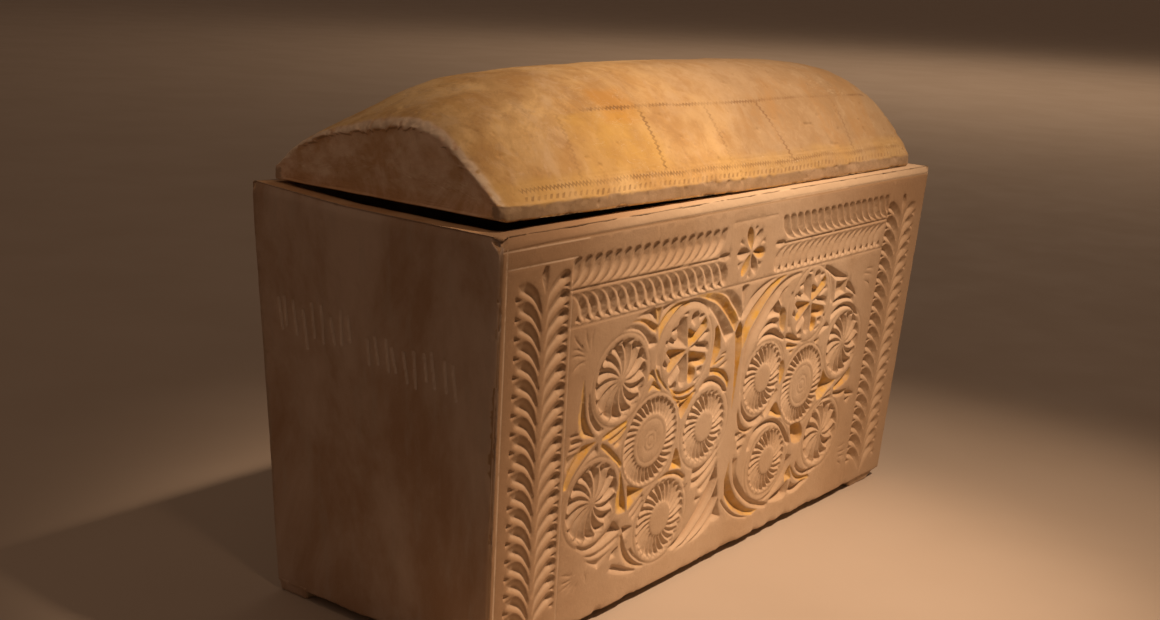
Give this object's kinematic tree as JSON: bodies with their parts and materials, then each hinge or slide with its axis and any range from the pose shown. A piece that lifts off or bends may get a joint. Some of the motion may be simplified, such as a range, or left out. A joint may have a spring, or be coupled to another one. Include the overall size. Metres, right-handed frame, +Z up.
{
  "type": "ossuary",
  "caption": "Limestone bone chest on low feet, its front chip-carved with rosettes in roundels, palm leaves and fronds, with ochre paint and a loose vaulted lid.",
  "frame": {"origin": "on the ground under the feet, at the middle of the chest's length and width", "axes": "+X along the chest's length, to the right seen from the carved front; the carved front looks towards -Y; +Z up"},
  "size_m": [0.7396, 0.2798, 0.4768],
  "materials": {
    "chest_stone": "matt, dry soft limestone with a warm brown patina and ochre paint in some cuts",
    "lid_stone": "matt, worn limestone, golden ochre patches and fine scratches"
  },
  "bodies": {
    "root": {"chest": "chest_stone", "lid": "lid_stone"}
  },
  "joints": []
}
